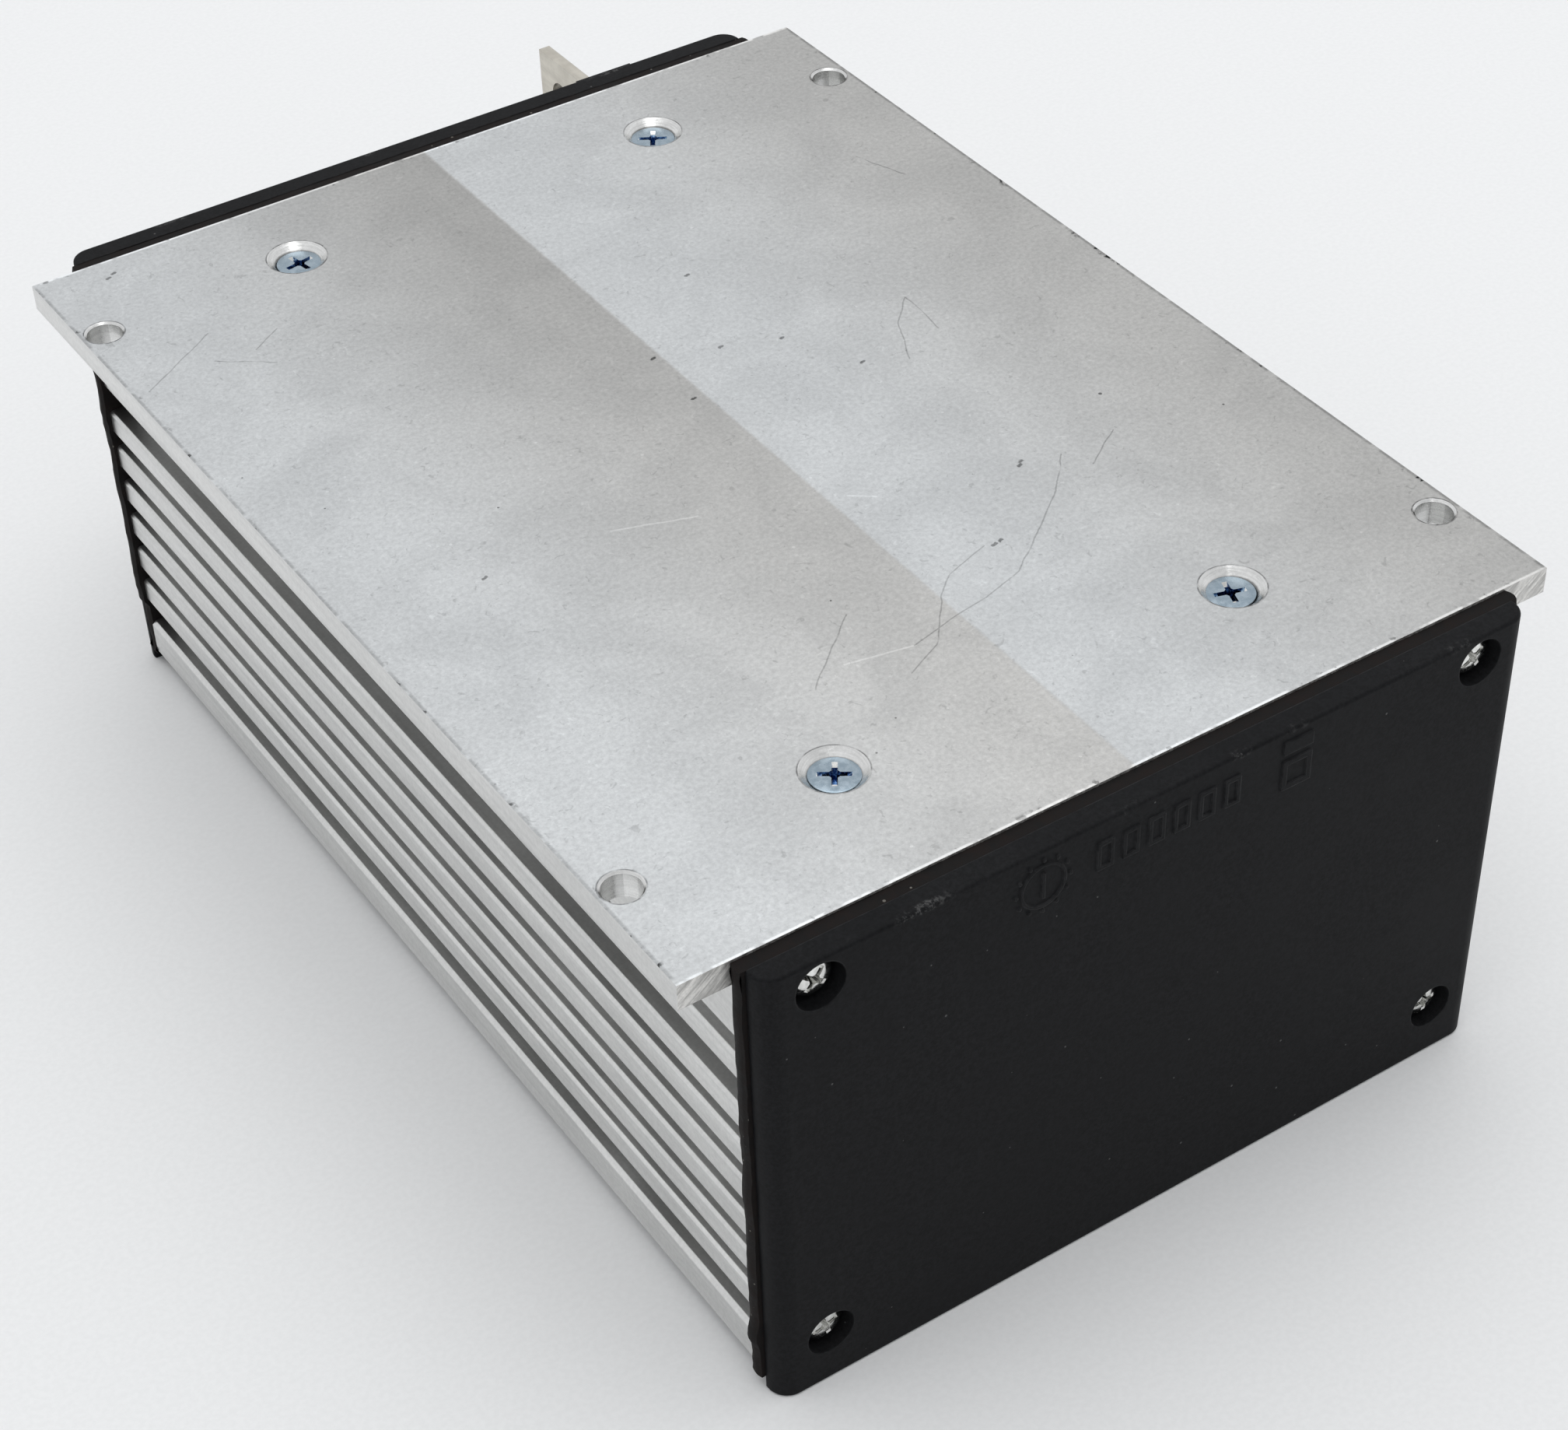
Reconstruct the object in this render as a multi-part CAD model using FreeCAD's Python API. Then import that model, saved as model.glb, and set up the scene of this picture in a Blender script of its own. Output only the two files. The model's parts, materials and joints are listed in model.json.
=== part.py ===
# Compact motor inverter: a finned aluminium tube with mounting wings, closed by two moulded
# caps, holding a power board, a capacitor board and a control board.
# X is the width, Y the length (front cap at -Y, terminals at +Y), Z up.
# The origin is the middle of the flat roof, the face that is bolted to a cooling plate.
import FreeCAD
import Part
import math
import os

V = FreeCAD.Vector

# ---- overall sizes (mm)
tube_len = 228.0
tube_w = 150.0
tube_h = 93.4
wing_reach = 10.0
wing_t = 5.0
roof_t = 7.0
floor_t = 3.0
wall_in = 6.5

# ---- side ribs, counted down from the wing
band_h = 12.1
foot_band = 8.0
first_gap = 4.4
rib_h = 4.7
rib_gap = 3.6
wide_gap = 6.2
gap_depth = 2.6
wide_depth = 3.6
rib_soft = 0.5

# ---- end caps and gaskets
cap_top_drop = 0.4
cap_foot = 3.0
cap_flange = 4.3
cap_corner = 3.9
cap_edge = 0.6
seal_t = 2.7
seal_proud = 1.2
plug_depth = 10.0
plug_wall = 2.5
plug_gap = 0.6
fit = 0.1
inner_rib_pitch = 20.0

# ---- cap screws (M4) and their ports in the tube
port_side = 10.3
port_top_drop = 6.0
port_foot = 8.3
port_r = 4.6
port_bore = 1.85
m4_r = 1.75
m4_head_r = 3.9
m4_head_h = 2.9
m4_len = 16.0
pocket_r = 4.5
pocket_deep = 4.6
boss_wall = 0.5
boss_room = 3.4

# ---- mounting holes in the wings and countersunk roof screws (M5)
wing_hole_r = 3.3
wing_hole_rim = 0.4
wing_hole_side = 5.5
wing_hole_end = 22.5
roof_screw_side = 35.3
roof_screw_end = 23.2
roof_screw_shift = 3.1
sink_r = 5.7
sink_drop = 1.3
m5_r = 2.4
m5_hole = 2.75
m5_len = 12.0

# ---- boards and the stack under the roof
pad_t = 0.3
spreader_t = 8.0
spreader_end = 14.0
board_side = 10.5
board_t = 1.6
power_end = 3.0
fet_w = 10.2
fet_l = 8.8
fet_h = 4.4
fet_pitch_x = 18.5
fet_pitch_y = 25.0
fet_end = 17.0
busbar_w = 5.0
busbar_h = 8.0
cap_board_drop = 30.4
cap_board_front = 22.0
cap_board_rear = 54.0
can_r = 11.0
can_h = 32.0
can_pitch = 26.6
can_pitch_y = 27.0
control_lift = 8.0
control_front = 18.0
control_rear = 2.0
spacer_side = 3.0
spacer_end = 4.0
spacer_flats = 5.5
m3_r = 1.4
m3_hole = 1.55

# ---- power terminals
blade_t = 2.5
blade_w = 16.0
blade_out = 27.8
blade_hole_r = 3.25
blade_hole_in = 8.0
upper_side = 29.0
upper_drop = 15.5
lower_drop = 47.4
riser_gap = 4.0
riser_len = 16.0
foot_w = 12.0
foot_t = 2.5
foot_len = 12.0
collar_out = 3.0
collar_wall = 2.0
grommet_wall = 3.2
divider_out = 12.0

# ---- signal connector
plug_side = 55.0
plug_w = 56.0
plug_h = 18.0
plug_lift = 11.0
plug_out = 15.0
plug_skin = 2.0
plug_rim = 3.0
pin_w = 0.8
pin_cols = 12
pin_pitch = 4.0
pin_row = 6.0

# ---- derived: heights are negative, because the flat roof is the plane z = 0
tube_end = tube_len / 2
cap_in = tube_end + seal_t
cap_face = cap_in + cap_flange
cap_top = -cap_top_drop
tube_foot = -tube_h
cap_low = tube_foot - cap_foot
half_w = tube_w / 2
wing_x = half_w + wing_reach
cavity_x = half_w - wall_in
cavity_z0 = tube_foot + floor_t
cavity_z1 = -roof_t
rib_room = tube_h - wing_t - band_h - first_gap - rib_h - 2 * wide_gap - foot_band
rib_count = int((rib_room + rib_gap) / (rib_h + rib_gap))
port_x = half_w - port_side
port_z = (tube_foot + port_foot, -port_top_drop)
boss_r = pocket_r + boss_wall
pad_x = port_x - boss_r - boss_room
pad_low = port_z[0] + boss_r + boss_room
pad_high = port_z[1] - boss_r - boss_room
roof_screw_x = half_w - roof_screw_side
roof_screw_half = tube_end - roof_screw_end
stack_mid = roof_screw_shift
spreader_half = tube_end - spreader_end
board_half = cavity_x - board_side
spreader_z = cavity_z1 - pad_t - spreader_t
power_z = spreader_z - board_t
cap_board_z = -cap_board_drop
cap_board_top = cap_board_z + board_t
cap_board_y0 = cap_board_front - tube_end
cap_board_y1 = tube_end - cap_board_rear
control_z = cavity_z0 + control_lift
control_top = control_z + board_t
control_y0 = control_front - tube_end
control_y1 = tube_end - control_rear
fet_y0 = cap_board_y0 + fet_end
fet_rows = int((cap_board_y1 - fet_y0) / fet_pitch_y) + 1
fet_side = int((board_half - 6.4 - fet_w / 2) / fet_pitch_x + 0.5)
can_cols = int((2 * board_half - 8) / can_pitch)
can_rows = int((cap_board_y1 - cap_board_y0 - 2 * can_r - 8) / can_pitch_y) + 1
upper_x = half_w - upper_side
terminal_pitch = (tube_w - 30) / 4
phase_x = [upper_x - terminal_pitch * i for i in (3, 2, 1)]
upper_mid_z = -upper_drop
lower_mid_z = -lower_drop
riser_y0 = cap_board_y1 + riser_gap
riser_y1 = riser_y0 + riser_len
rear_y0 = riser_y1 + riser_gap
blade_end = cap_face + blade_out
plug_x = plug_side - half_w
plug_z = control_z + plug_lift
plug_y0 = control_y1 + 0.2
plug_y1 = cap_in - 1.0
riser_x = board_half - spacer_side
roof_screws = [(sx * roof_screw_x, stack_mid + sy * roof_screw_half) for sx in (-1, 1) for sy in (-1, 1)]
ports = [(sx * port_x, z) for sx in (-1, 1) for z in port_z]
spacers = [
    (sx * (board_half - spacer_side), y)
    for sx in (-1, 1)
    for y in (cap_board_y0 + spacer_end, cap_board_y1 - spacer_end)
]


def box(x0, x1, y0, y1, z0, z1):
    return Part.makeBox(x1 - x0, y1 - y0, z1 - z0, V(x0, y0, z0))


def ybox(s, x0, x1, ya, yb, z0, z1):
    lo = min(s * ya, s * yb)
    hi = max(s * ya, s * yb)
    return box(x0, x1, lo, hi, z0, z1)


def yrod(s, x, z, r, ya, yb):
    return Part.makeCylinder(r, abs(yb - ya), V(x, s * ya, z), V(0, s, 0))


def zrod(x, y, r, z0, z1):
    return Part.makeCylinder(r, z1 - z0, V(x, y, z0))


def hexrod(x, y, flats, z0, z1):
    r = flats / math.sqrt(3)
    pts = []
    for i in range(7):
        a = math.radians(60 * i)
        pts.append(V(x + r * math.cos(a), y + r * math.sin(a), z0))
    return Part.Face(Part.makePolygon(pts)).extrude(V(0, 0, z1 - z0))


def join(shapes):
    out = shapes[0]
    if len(shapes) > 1:
        out = out.multiFuse(shapes[1:])
    return out.removeSplitter()


def group(shapes):
    return Part.makeCompound(shapes)


def save(name, shape):
    shape.exportStep("parts/" + name + ".step")


# ---------------------------------------------------------------- tube
def side_points():
    """Outline of the right side of the tube, from the wing down to the floor, as (x, z)."""
    pts = [(wing_x, 0), (wing_x, -wing_t), (half_w, -wing_t)]
    z = -wing_t - band_h
    pts += [(half_w, z), (half_w - gap_depth, z)]
    z -= first_gap
    depth = gap_depth
    for i in range(rib_count + 1):
        pts += [(half_w - depth, z), (half_w - rib_soft, z), (half_w, z - rib_soft)]
        z -= rib_h
        depth = wide_depth if i in (0, rib_count) else gap_depth
        pts += [(half_w, z), (half_w - depth, z)]
        z -= wide_gap if i in (0, rib_count) else rib_gap
    pts += [(half_w - depth, z), (half_w - 0.8, z), (half_w, z - 0.8)]
    pts += [(half_w, tube_foot + 1.2), (half_w - 0.35, tube_foot + 0.35), (half_w - 1.2, tube_foot)]
    return pts


def housing():
    right = side_points()
    left = [(-x, z) for x, z in reversed(right)]
    loop = [V(x, -tube_end, z) for x, z in right + left]
    loop.append(loop[0])
    body = Part.Face(Part.makePolygon(loop)).extrude(V(0, tube_len, 0))
    body = body.cut(box(-cavity_x, cavity_x, -tube_end, tube_end, cavity_z0, cavity_z1))
    lugs = [yrod(1, x, z, port_r, -tube_end, tube_end) for x, z in ports]
    body = join([body] + lugs)
    cuts = [yrod(1, x, z, port_bore, -tube_end, tube_end) for x, z in ports]
    for sx in (-1, 1):
        for sy in (-1, 1):
            cuts += wing_hole(sx * (half_w + wing_hole_side), sy * (tube_end - wing_hole_end))
    for x, y in roof_screws:
        cuts += roof_sink(x, y)
    return body.cut(group(cuts))


def wing_hole(x, y):
    rim = Part.makeCone(wing_hole_r, wing_hole_r + wing_hole_rim, wing_hole_rim, V(x, y, -wing_hole_rim))
    return [zrod(x, y, wing_hole_r, -wing_t, 0), rim]


def roof_sink(x, y):
    deep = sink_r - m5_hole
    cone = Part.makeCone(m5_hole, sink_r, deep, V(x, y, -deep))
    return [cone, zrod(x, y, m5_hole, cavity_z1, -deep)]


# ---------------------------------------------------------------- caps and gaskets
def cap_shell(s):
    flange = ybox(s, -half_w, half_w, cap_in, cap_face, cap_low, cap_top)
    edges = []
    for e in flange.Edges:
        c = e.CenterOfMass
        if abs(abs(c.x) - half_w) < 0.01 and abs(abs(c.y) - cap_face) < 0.01:
            edges.append(e)
    flange = flange.makeFillet(cap_corner, edges)
    rim = [e for e in flange.Edges if abs(abs(e.CenterOfMass.y) - cap_face) < 0.01 and e.Length > 20]
    flange = flange.makeFillet(cap_edge, rim)
    px = cavity_x - plug_gap
    pz0 = cavity_z0 + plug_gap
    pz1 = cavity_z1 - plug_gap
    tip = tube_end - plug_depth
    plug = ybox(s, -px, px, tip, cap_in, pz0, pz1)
    w = plug_wall
    plug = plug.cut(ybox(s, w - px, px - w, tip, cap_in, pz0 + w, pz1 - w))
    clear = 0.6
    for sx in (-1, 1):
        x0 = min(sx * (pad_x - clear), sx * half_w)
        x1 = max(sx * (pad_x - clear), sx * half_w)
        plug = plug.cut(ybox(s, x0, x1, tip, cap_in, cap_low, pad_low + clear))
        plug = plug.cut(ybox(s, x0, x1, tip, cap_in, pad_high - clear, 0))
    bosses = [yrod(s, x, z, boss_r, tube_end, cap_in) for x, z in ports]
    bosses = group(bosses).common(ybox(s, -half_w, half_w, tube_end, cap_in, cap_low, cap_top))
    return [flange, plug] + list(bosses.Solids)


def screw_pockets(s):
    cuts = []
    for x, z in ports:
        cuts.append(yrod(s, x, z, pocket_r, cap_face - pocket_deep, cap_face))
        cuts.append(yrod(s, x, z, m4_r + 0.35, tube_end, cap_face))
    return cuts


def mould_marks():
    """Plain raised marks near the upper edge of the front cap: a dial, six pads and a tile."""
    h = 0.3
    y0 = cap_face
    dial_x = -24.1
    dial_z = -7.6
    ring = yrod(-1, dial_x, dial_z, 4.4, y0, y0 + h).cut(yrod(-1, dial_x, dial_z, 3.9, y0, y0 + h))
    marks = [ring]
    for i in range(12):
        a = 2 * math.pi * i / 12
        marks.append(yrod(-1, dial_x + 5.2 * math.cos(a), dial_z + 5.2 * math.sin(a), 0.35, y0, y0 + h))
    marks.append(ybox(-1, dial_x - 0.3, dial_x + 0.3, y0, y0 + h, dial_z - 2.6, dial_z + 2.6))
    for i in range(6):
        x = -12.2 + 5.0 * i
        pad = ybox(-1, x - 1.6, x + 1.6, y0, y0 + h, -10.2, -4.6)
        core = ybox(-1, x - 0.9, x + 0.9, y0, y0 + h, -9.5, -5.3)
        marks.append(pad.cut(core))
    tile = ybox(-1, 23.0, 29.0, y0, y0 + h, -12.6, -6.6)
    tile = tile.cut(ybox(-1, 24.0, 28.0, y0, y0 + h, -11.6, -7.6))
    marks.append(tile)
    marks.append(ybox(-1, 23.0, 29.0, y0, y0 + h, -5.2, -2.6))
    return marks


def front_cap():
    ribs = []
    for i in range(5):
        x = inner_rib_pitch * (i - 2)
        ribs.append(ybox(-1, x - 1, x + 1, cap_in - 4.5, cap_in, cavity_z0 + 6, cavity_z1 - 6))
    body = join(cap_shell(-1) + ribs + mould_marks())
    return body.cut(group(screw_pockets(-1)))


def terminal_spots():
    spots = [(x, lower_mid_z) for x in phase_x]
    spots += [(upper_x, lower_mid_z), (upper_x, upper_mid_z)]
    return spots


def pocket_box(x, z, grow, ya, yb):
    hx = blade_t / 2 + grommet_wall + grow
    hz = blade_w / 2 + grommet_wall + grow
    return ybox(1, x - hx, x + hx, ya, yb, z - hz, z + hz)


def rear_cap():
    solids = cap_shell(1)
    for x, z in terminal_spots():
        solids.append(pocket_box(x, z, collar_wall, cap_in, cap_face + collar_out))
    low = lower_mid_z - 14
    high = lower_mid_z + 14
    for left in phase_x:
        x = left + terminal_pitch / 2
        solids.append(ybox(1, x - 1, x + 1, cap_face - 1, cap_face + divider_out, low, high))
    body = join(solids)
    cuts = screw_pockets(1)
    for x, z in terminal_spots():
        cuts.append(pocket_box(x, z, 0, cap_in - 1, cap_face + collar_out))
    hw = plug_w / 2 + 0.3
    hh = plug_h / 2 + 0.3
    cuts.append(ybox(1, plug_x - hw, plug_x + hw, cap_in - 1, cap_face + 1, plug_z - hh, plug_z + hh))
    return body.cut(group(cuts))


def gasket(s):
    edge = half_w + seal_proud
    body = ybox(s, -edge, edge, tube_end, cap_in, tube_foot - 0.4, cap_top)
    g = 0.4
    hole = ybox(s, g - cavity_x, cavity_x - g, tube_end, cap_in, cavity_z0 + g, cavity_z1 - g)
    for sx in (-1, 1):
        x0 = min(sx * pad_x, sx * half_w)
        x1 = max(sx * pad_x, sx * half_w)
        hole = hole.cut(ybox(s, x0, x1, tube_end, cap_in, cap_low, pad_low))
        hole = hole.cut(ybox(s, x0, x1, tube_end, cap_in, pad_high, 0))
    body = body.cut(hole)
    return body.cut(group([yrod(s, x, z, boss_r + fit, tube_end, cap_in) for x, z in ports]))


# ---------------------------------------------------------------- screws
def cross_recess(s, x, z, y_face, size, deep):
    arm = ybox(s, x - size, x + size, y_face - deep, y_face, z - 0.45, z + 0.45)
    other = ybox(s, x - 0.45, x + 0.45, y_face - deep, y_face, z - size, z + size)
    return arm.fuse(other)


def cap_screws(s):
    out = []
    seat = cap_face - pocket_deep
    for x, z in ports:
        rim = m4_head_h * 0.45
        head = yrod(s, x, z, m4_head_r, seat, seat + rim)
        base = V(x, s * (seat + rim), z)
        dome = Part.makeCone(m4_head_r, m4_head_r * 0.62, m4_head_h - rim, base, V(0, s, 0))
        shank = yrod(s, x, z, m4_r, seat - m4_len, seat)
        screw = join([head, dome, shank])
        out.append(screw.cut(cross_recess(s, x, z, seat + m4_head_h, 1.9, 1.6)))
    return group(out)


def roof_screw_set():
    out = []
    head_top = -sink_drop
    head_r = sink_r - sink_drop - 0.03
    rim = 0.25
    cone_h = head_r - m5_r
    for x, y in roof_screws:
        low = head_top - rim - cone_h
        head = zrod(x, y, head_r - rim, head_top - rim, head_top)
        cone = Part.makeCone(m5_r - rim, head_r - rim, cone_h, V(x, y, low))
        shank = zrod(x, y, m5_r - rim, head_top - m5_len, low + 0.5)
        screw = join([head, cone, shank])
        arm = box(x - 2.2, x + 2.2, y - 0.5, y + 0.5, head_top - 1.7, head_top)
        other = box(x - 0.5, x + 0.5, y - 2.2, y + 2.2, head_top - 1.7, head_top)
        out.append(screw.cut(arm.fuse(other)))
    return group(out)


# ---------------------------------------------------------------- power stack
def stack_plate(half_len, z0, z1):
    return box(-board_half, board_half, stack_mid - half_len, stack_mid + half_len, z0, z1)


def thermal_sheet():
    sheet = stack_plate(spreader_half, cavity_z1 - pad_t, cavity_z1)
    return sheet.cut(group([zrod(x, y, m5_hole, cavity_z1 - pad_t, cavity_z1) for x, y in roof_screws]))


def board_screw_spots():
    """Screws stand midway between rows of switches."""
    spots = [(0, fet_y0 + 0.5 * fet_pitch_y), (0, fet_y0 + (fet_rows - 1.5) * fet_pitch_y)]
    for row in (1.5, fet_rows - 2.5):
        for side in (-2, 2):
            spots.append((side * fet_pitch_x, fet_y0 + row * fet_pitch_y))
    return spots


def heat_spreader():
    top = spreader_z + spreader_t
    body = stack_plate(spreader_half, spreader_z, top)
    cuts = [zrod(x, y, m5_r + fit, spreader_z + 1.0, top) for x, y in roof_screws]
    for x, y in board_screw_spots() + spacers:
        cuts.append(zrod(x, y, m3_r + 0.1, spreader_z, spreader_z + 6.5))
    return body.cut(group(cuts))


def power_board():
    body = stack_plate(spreader_half - power_end, power_z, spreader_z)
    holes = [zrod(x, y, m3_hole, power_z, spreader_z) for x, y in board_screw_spots() + spacers]
    return body.cut(group(holes))


def m3_screw(x, y, seat_z, tip_z):
    """Pan head screw that points up, with its head under seat_z."""
    low = seat_z - 2.2
    head = zrod(x, y, 2.8, low, seat_z)
    shank = zrod(x, y, m3_r, seat_z, tip_z)
    slot = box(x - 1.4, x + 1.4, y - 0.35, y + 0.35, low, low + 1.2)
    other = box(x - 0.35, x + 0.35, y - 1.4, y + 1.4, low, low + 1.2)
    return join([head, shank]).cut(slot.fuse(other))


def power_board_screws():
    return group([m3_screw(x, y, power_z, spreader_z + 6.0) for x, y in board_screw_spots()])


def transistors():
    out = []
    for i in range(-fet_side, fet_side):
        for j in range(fet_rows):
            x = fet_pitch_x * (i + 0.5)
            y = fet_y0 + fet_pitch_y * j
            x0 = x - fet_w / 2
            x1 = x + fet_w / 2
            y0 = y - fet_l / 2
            y1 = y + fet_l / 2
            pieces = [box(x0, x1, y0, y1, power_z - fet_h, power_z)]
            pieces.append(box(x0, x1, y1, y1 + 1.4, power_z - 1.3, power_z))
            for leg in (x - 2.54, x + 2.54):
                pieces.append(box(leg - 0.4, leg + 0.4, y0 - 3.0, y0, power_z - 0.6, power_z))
            out.append(join(pieces))
    return group(out)


def busbar(x):
    half = busbar_w / 2
    return box(x - half, x + half, cap_board_y0 + 2, cap_board_y1 - 2, power_z - busbar_h, power_z)


# ---------------------------------------------------------------- capacitor board
def can_spots():
    mid_i = (can_cols - 1) / 2
    mid_j = (can_rows - 1) / 2
    mid_y = (cap_board_y0 + cap_board_y1) / 2
    cells = [(i, j) for i in range(can_cols) for j in range(can_rows)]
    return [(can_pitch * (i - mid_i), mid_y + can_pitch_y * (j - mid_j)) for i, j in cells]


def capacitor_board():
    body = box(-board_half, board_half, cap_board_y0, cap_board_y1, cap_board_z, cap_board_top)
    body = body.cut(box(riser_x - 2.6, board_half, -31, 31, cap_board_z, cap_board_top))
    holes = [zrod(x, y, m3_hole, cap_board_z, cap_board_top) for x, y in spacers]
    return body.cut(group(holes))


def capacitor_cans():
    out = []
    for x, y in can_spots():
        can = zrod(x, y, can_r, cap_board_z - can_h, cap_board_z)
        crimp = zrod(x, y, can_r + 1, cap_board_z - 5.2, cap_board_z - 3.8)
        crimp = crimp.cut(zrod(x, y, can_r - 0.5, cap_board_z - 5.2, cap_board_z - 3.8))
        out.append(can.cut(crimp))
    return group(out)


def short_spacers():
    out = []
    for x, y in spacers:
        body = hexrod(x, y, spacer_flats, cap_board_top, power_z)
        body = body.cut(zrod(x, y, m3_r + 0.1, cap_board_top, cap_board_top + 6))
        out.append(join([body, zrod(x, y, m3_r, power_z, spreader_z + 6.0)]))
    return group(out)


def long_spacers():
    out = []
    for x, y in spacers:
        body = hexrod(x, y, spacer_flats, control_top, cap_board_z)
        body = body.cut(zrod(x, y, m3_r + 0.1, control_top, control_top + 9))
        out.append(join([body, zrod(x, y, m3_r, cap_board_z, cap_board_top + 5.5)]))
    return group(out)


def control_screws():
    return group([m3_screw(x, y, control_z, control_top + 7) for x, y in spacers])


# ---------------------------------------------------------------- control board
def control_board():
    body = box(-board_half, board_half, control_y0, control_y1, control_z, control_top)
    holes = [zrod(x, y, m3_hole, control_z, control_top) for x, y in spacers]
    return body.cut(group(holes))


def chip(x, y, w, l, h):
    return box(x - w / 2, x + w / 2, y - l / 2, y + l / 2, control_top, control_top + h)


def processor():
    pads = [chip(0, 10, 20, 20, 1.6)]
    for i in range(10):
        t = -8.1 + 1.8 * i
        pads.append(chip(0, 10 + t, 23, 0.7, 0.3))
        pads.append(chip(t, 10, 0.7, 23, 0.3))
    return join(pads)


def gate_drivers():
    return group([chip(-36 + 24 * i, -34, 7.6, 10.4, 2.4) for i in range(4)])


def supply_parts():
    coil = chip(-34, -72, 18, 16, 12)
    relay = chip(-4, -72, 16, 20, 14)
    small = [zrod(22 + 12 * i, -72, 4.5, control_top, control_top + 11) for i in range(2)]
    return group([coil, relay] + small)


def riser_board():
    return box(riser_x - 0.8, riser_x + 0.8, -28, 28, control_top + 4.0, power_z - 4.0)


def riser_sockets():
    low = box(riser_x - 2, riser_x + 2, -30, 30, control_top, control_top + 7)
    high = box(riser_x - 2, riser_x + 2, -30, 30, power_z - 7, power_z)
    gap = box(riser_x - 0.85, riser_x + 0.85, -28.1, 28.1, control_top + 3.9, power_z - 3.9)
    return group([low.cut(gap), high.cut(gap)])


def insulating_sheet():
    return box(1 - board_half, board_half - 1, control_y0, tube_end - 14, cavity_z0, cavity_z0 + 0.5)


# ---------------------------------------------------------------- terminals
def blade_from(points, x):
    loop = [V(x - blade_t / 2, y, z) for y, z in points]
    loop.append(loop[0])
    return Part.Face(Part.makePolygon(loop)).extrude(V(blade_t, 0, 0))


def finish_blade(body, x, z, foot_y0, foot_y1):
    lug = box(x - foot_w, x + blade_t / 2, foot_y0, foot_y1, power_z - foot_t, power_z)
    body = join([body, lug])
    y = blade_end - blade_hole_in
    hole = Part.makeCylinder(blade_hole_r, blade_t * 2, V(x - blade_t, y, z), V(1, 0, 0))
    return body.cut(hole)


def lower_blade(x):
    z0 = lower_mid_z - blade_w / 2
    z1 = lower_mid_z + blade_w / 2
    pts = [(riser_y0, power_z), (riser_y1, power_z), (riser_y1, z1)]
    pts += [(blade_end, z1), (blade_end, z0), (riser_y0, z0)]
    return finish_blade(blade_from(pts, x), x, lower_mid_z, riser_y0, riser_y1)


def upper_blade():
    z0 = upper_mid_z - blade_w / 2
    z1 = upper_mid_z + blade_w / 2
    rear = stack_mid + spreader_half + 1.5
    neck = cavity_z1 - 4.5
    shoulder = cap_in + 0.5
    pts = [(rear_y0, power_z), (rear, power_z), (rear, neck), (shoulder, neck)]
    pts += [(shoulder, z1), (blade_end, z1), (blade_end, z0), (rear_y0, z0)]
    return finish_blade(blade_from(pts, upper_x), upper_x, upper_mid_z, rear_y0, rear_y0 + foot_len)


def terminal_grommets():
    out = []
    for x, z in terminal_spots():
        ya = cap_in + 0.6
        yb = cap_face + collar_out - 0.2
        body = pocket_box(x, z, -fit, ya, yb)
        hx = blade_t / 2 + 0.05
        hz = blade_w / 2 + 0.05
        out.append(body.cut(ybox(1, x - hx, x + hx, ya, yb, z - hz, z + hz)))
    return group(out)


def current_sensors():
    out = []
    hx = blade_t / 2 + 0.3
    z0 = lower_mid_z - blade_w / 2 - 0.3
    z1 = lower_mid_z + blade_w / 2 + 0.3
    for x in (phase_x[0], phase_x[2]):
        y0 = rear_y0 + 2
        body = box(x - 9, x + 9, y0, y0 + 11, control_top, lower_mid_z + 13)
        out.append(body.cut(box(x - hx, x + hx, y0, y0 + 11, z0, z1)))
    return group(out)


# ---------------------------------------------------------------- signal connector
def pin_spots():
    spots = []
    for i in range(pin_cols):
        for j in (-1, 1):
            x = plug_x + pin_pitch * (i - (pin_cols - 1) / 2)
            spots.append((x, plug_z + j * pin_row / 2, j))
    return spots


def connector_body():
    hw = plug_w / 2
    hh = plug_h / 2
    skin = plug_skin
    tail = box(plug_x - hw + 2, plug_x + hw - 2, plug_y0 - 6.2, plug_y0, control_top, plug_z + hh - 2)
    rx = hw + plug_rim
    rz = hh + plug_rim
    plate = box(plug_x - rx, plug_x + rx, plug_y0, plug_y1, plug_z - rz, plug_z + rz)
    shroud = box(plug_x - hw, plug_x + hw, plug_y1, cap_face + plug_out, plug_z - hh, plug_z + hh)
    body = join([tail, plate, shroud])
    mouth_x = hw - skin
    mouth_z = hh - skin
    mouth_y = cap_face + 2.0
    end = cap_face + plug_out
    holes = [box(plug_x - mouth_x, plug_x + mouth_x, mouth_y, end, plug_z - mouth_z, plug_z + mouth_z)]
    r = pin_w / 2 + 0.05
    for x, z, j in pin_spots():
        holes.append(box(x - r, x + r, plug_y0 - 7, mouth_y + 1, z - r, z + r))
    return body.cut(group(holes))


def connector_pins():
    out = []
    r = pin_w / 2
    for x, z, j in pin_spots():
        leg_y = plug_y0 - 9.2 if j < 0 else plug_y0 - 11.7
        bar = box(x - r, x + r, leg_y - r, cap_face + plug_out - 4, z - r, z + r)
        leg = box(x - r, x + r, leg_y - r, leg_y + r, control_top, z)
        out.append(join([bar, leg]))
    return group(out)


def connector_seal():
    x0 = plug_w / 2 + fit
    z0 = plug_h / 2 + fit
    x1 = plug_w / 2 + plug_rim
    z1 = plug_h / 2 + plug_rim
    body = box(plug_x - x1, plug_x + x1, plug_y1, cap_in, plug_z - z1, plug_z + z1)
    return body.cut(box(plug_x - x0, plug_x + x0, plug_y1, cap_in, plug_z - z0, plug_z + z0))


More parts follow.
